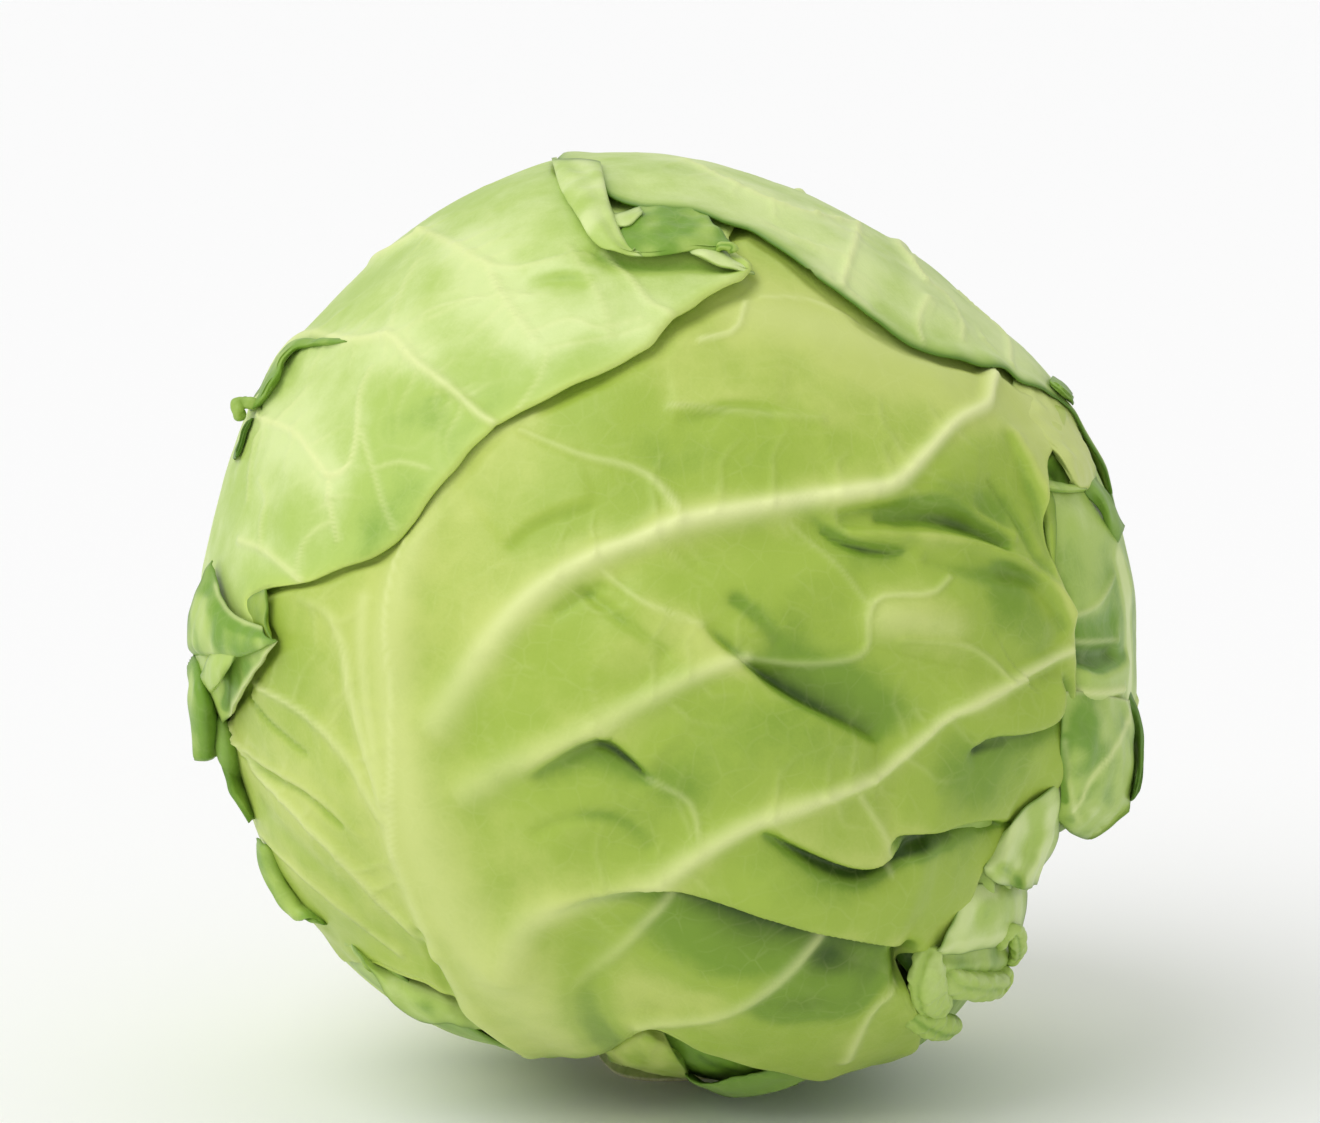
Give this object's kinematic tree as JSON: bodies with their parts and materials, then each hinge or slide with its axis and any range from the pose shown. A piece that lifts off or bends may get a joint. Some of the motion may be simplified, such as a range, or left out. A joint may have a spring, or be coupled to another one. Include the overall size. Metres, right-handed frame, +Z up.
{
  "type": "cabbage head",
  "caption": "Round green cabbage head standing on its cut stem, a tight heart wrapped in loose overlapping outer leaves with raised ribs and wavy edges.",
  "frame": {"origin": "middle of the stem's cut face, on the surface that the head stands on", "axes": "+Z up through the head, -Y towards the front, where the biggest wrapper leaf is, and +X to the right seen from there"},
  "size_m": [0.1981, 0.188, 0.1911],
  "materials": {
    "heart_leaves": "satin",
    "cut_stem": "matt",
    "pale_green_leaf": "satin",
    "green_leaf": "satin",
    "deep_green_leaf": "satin"
  },
  "bodies": {
    "root": {"heart": "heart_leaves", "stem": "cut_stem", "leaf_base_back": "deep_green_leaf", "leaf_base_left": "green_leaf", "leaf_base_right": "deep_green_leaf", "leaf_low_right": "green_leaf", "leaf_right": "green_leaf", "leaf_front": "pale_green_leaf", "leaf_left": "green_leaf", "leaf_back": "green_leaf"}
  },
  "joints": []
}
